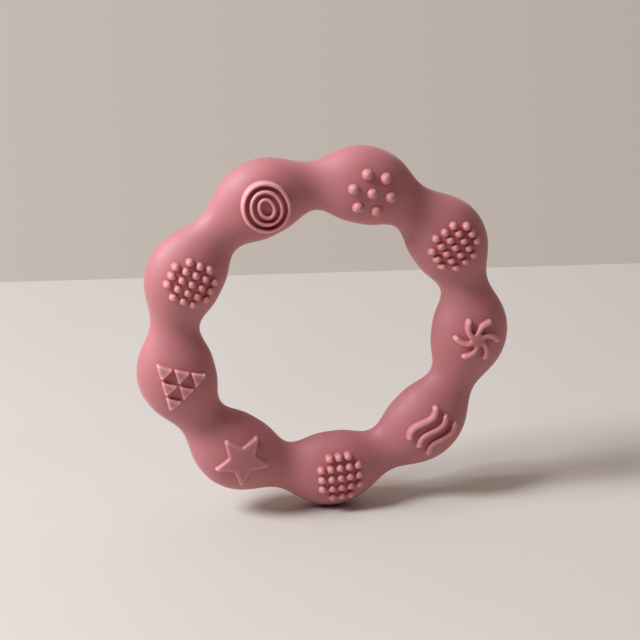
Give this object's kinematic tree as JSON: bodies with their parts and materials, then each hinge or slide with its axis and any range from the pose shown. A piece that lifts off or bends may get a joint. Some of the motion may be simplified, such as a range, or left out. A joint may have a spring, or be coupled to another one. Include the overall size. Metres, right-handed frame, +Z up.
{
  "type": "teething ring",
  "caption": "Soft silicone teething ring of round beads joined by slimmer necks, with a raised chewing texture on the front and back of each bead.",
  "frame": {"origin": "centre of the ring, on its axis and in its middle plane", "axes": "+Y along the ring's axis, away from the viewer of its front; the front faces -Y; +Z up with the ring standing on edge; +X to the right seen from the front"},
  "size_m": [0.0987, 0.0168, 0.0986],
  "materials": {
    "silicone": "matte, soft, dusty pink"
  },
  "bodies": {
    "root": {"ring_body": "silicone", "front_circles": "silicone", "front_seven_dots": "silicone", "front_upper_nubs": "silicone", "front_pinwheel": "silicone", "front_waves": "silicone", "front_lower_nubs": "silicone", "front_star": "silicone", "front_triangles": "silicone", "front_left_nubs": "silicone", "back_circles": "silicone", "back_seven_dots": "silicone", "back_upper_nubs": "silicone", "back_pinwheel": "silicone", "back_waves": "silicone", "back_lower_nubs": "silicone", "back_star": "silicone", "back_triangles": "silicone", "back_left_nubs": "silicone"}
  },
  "joints": []
}
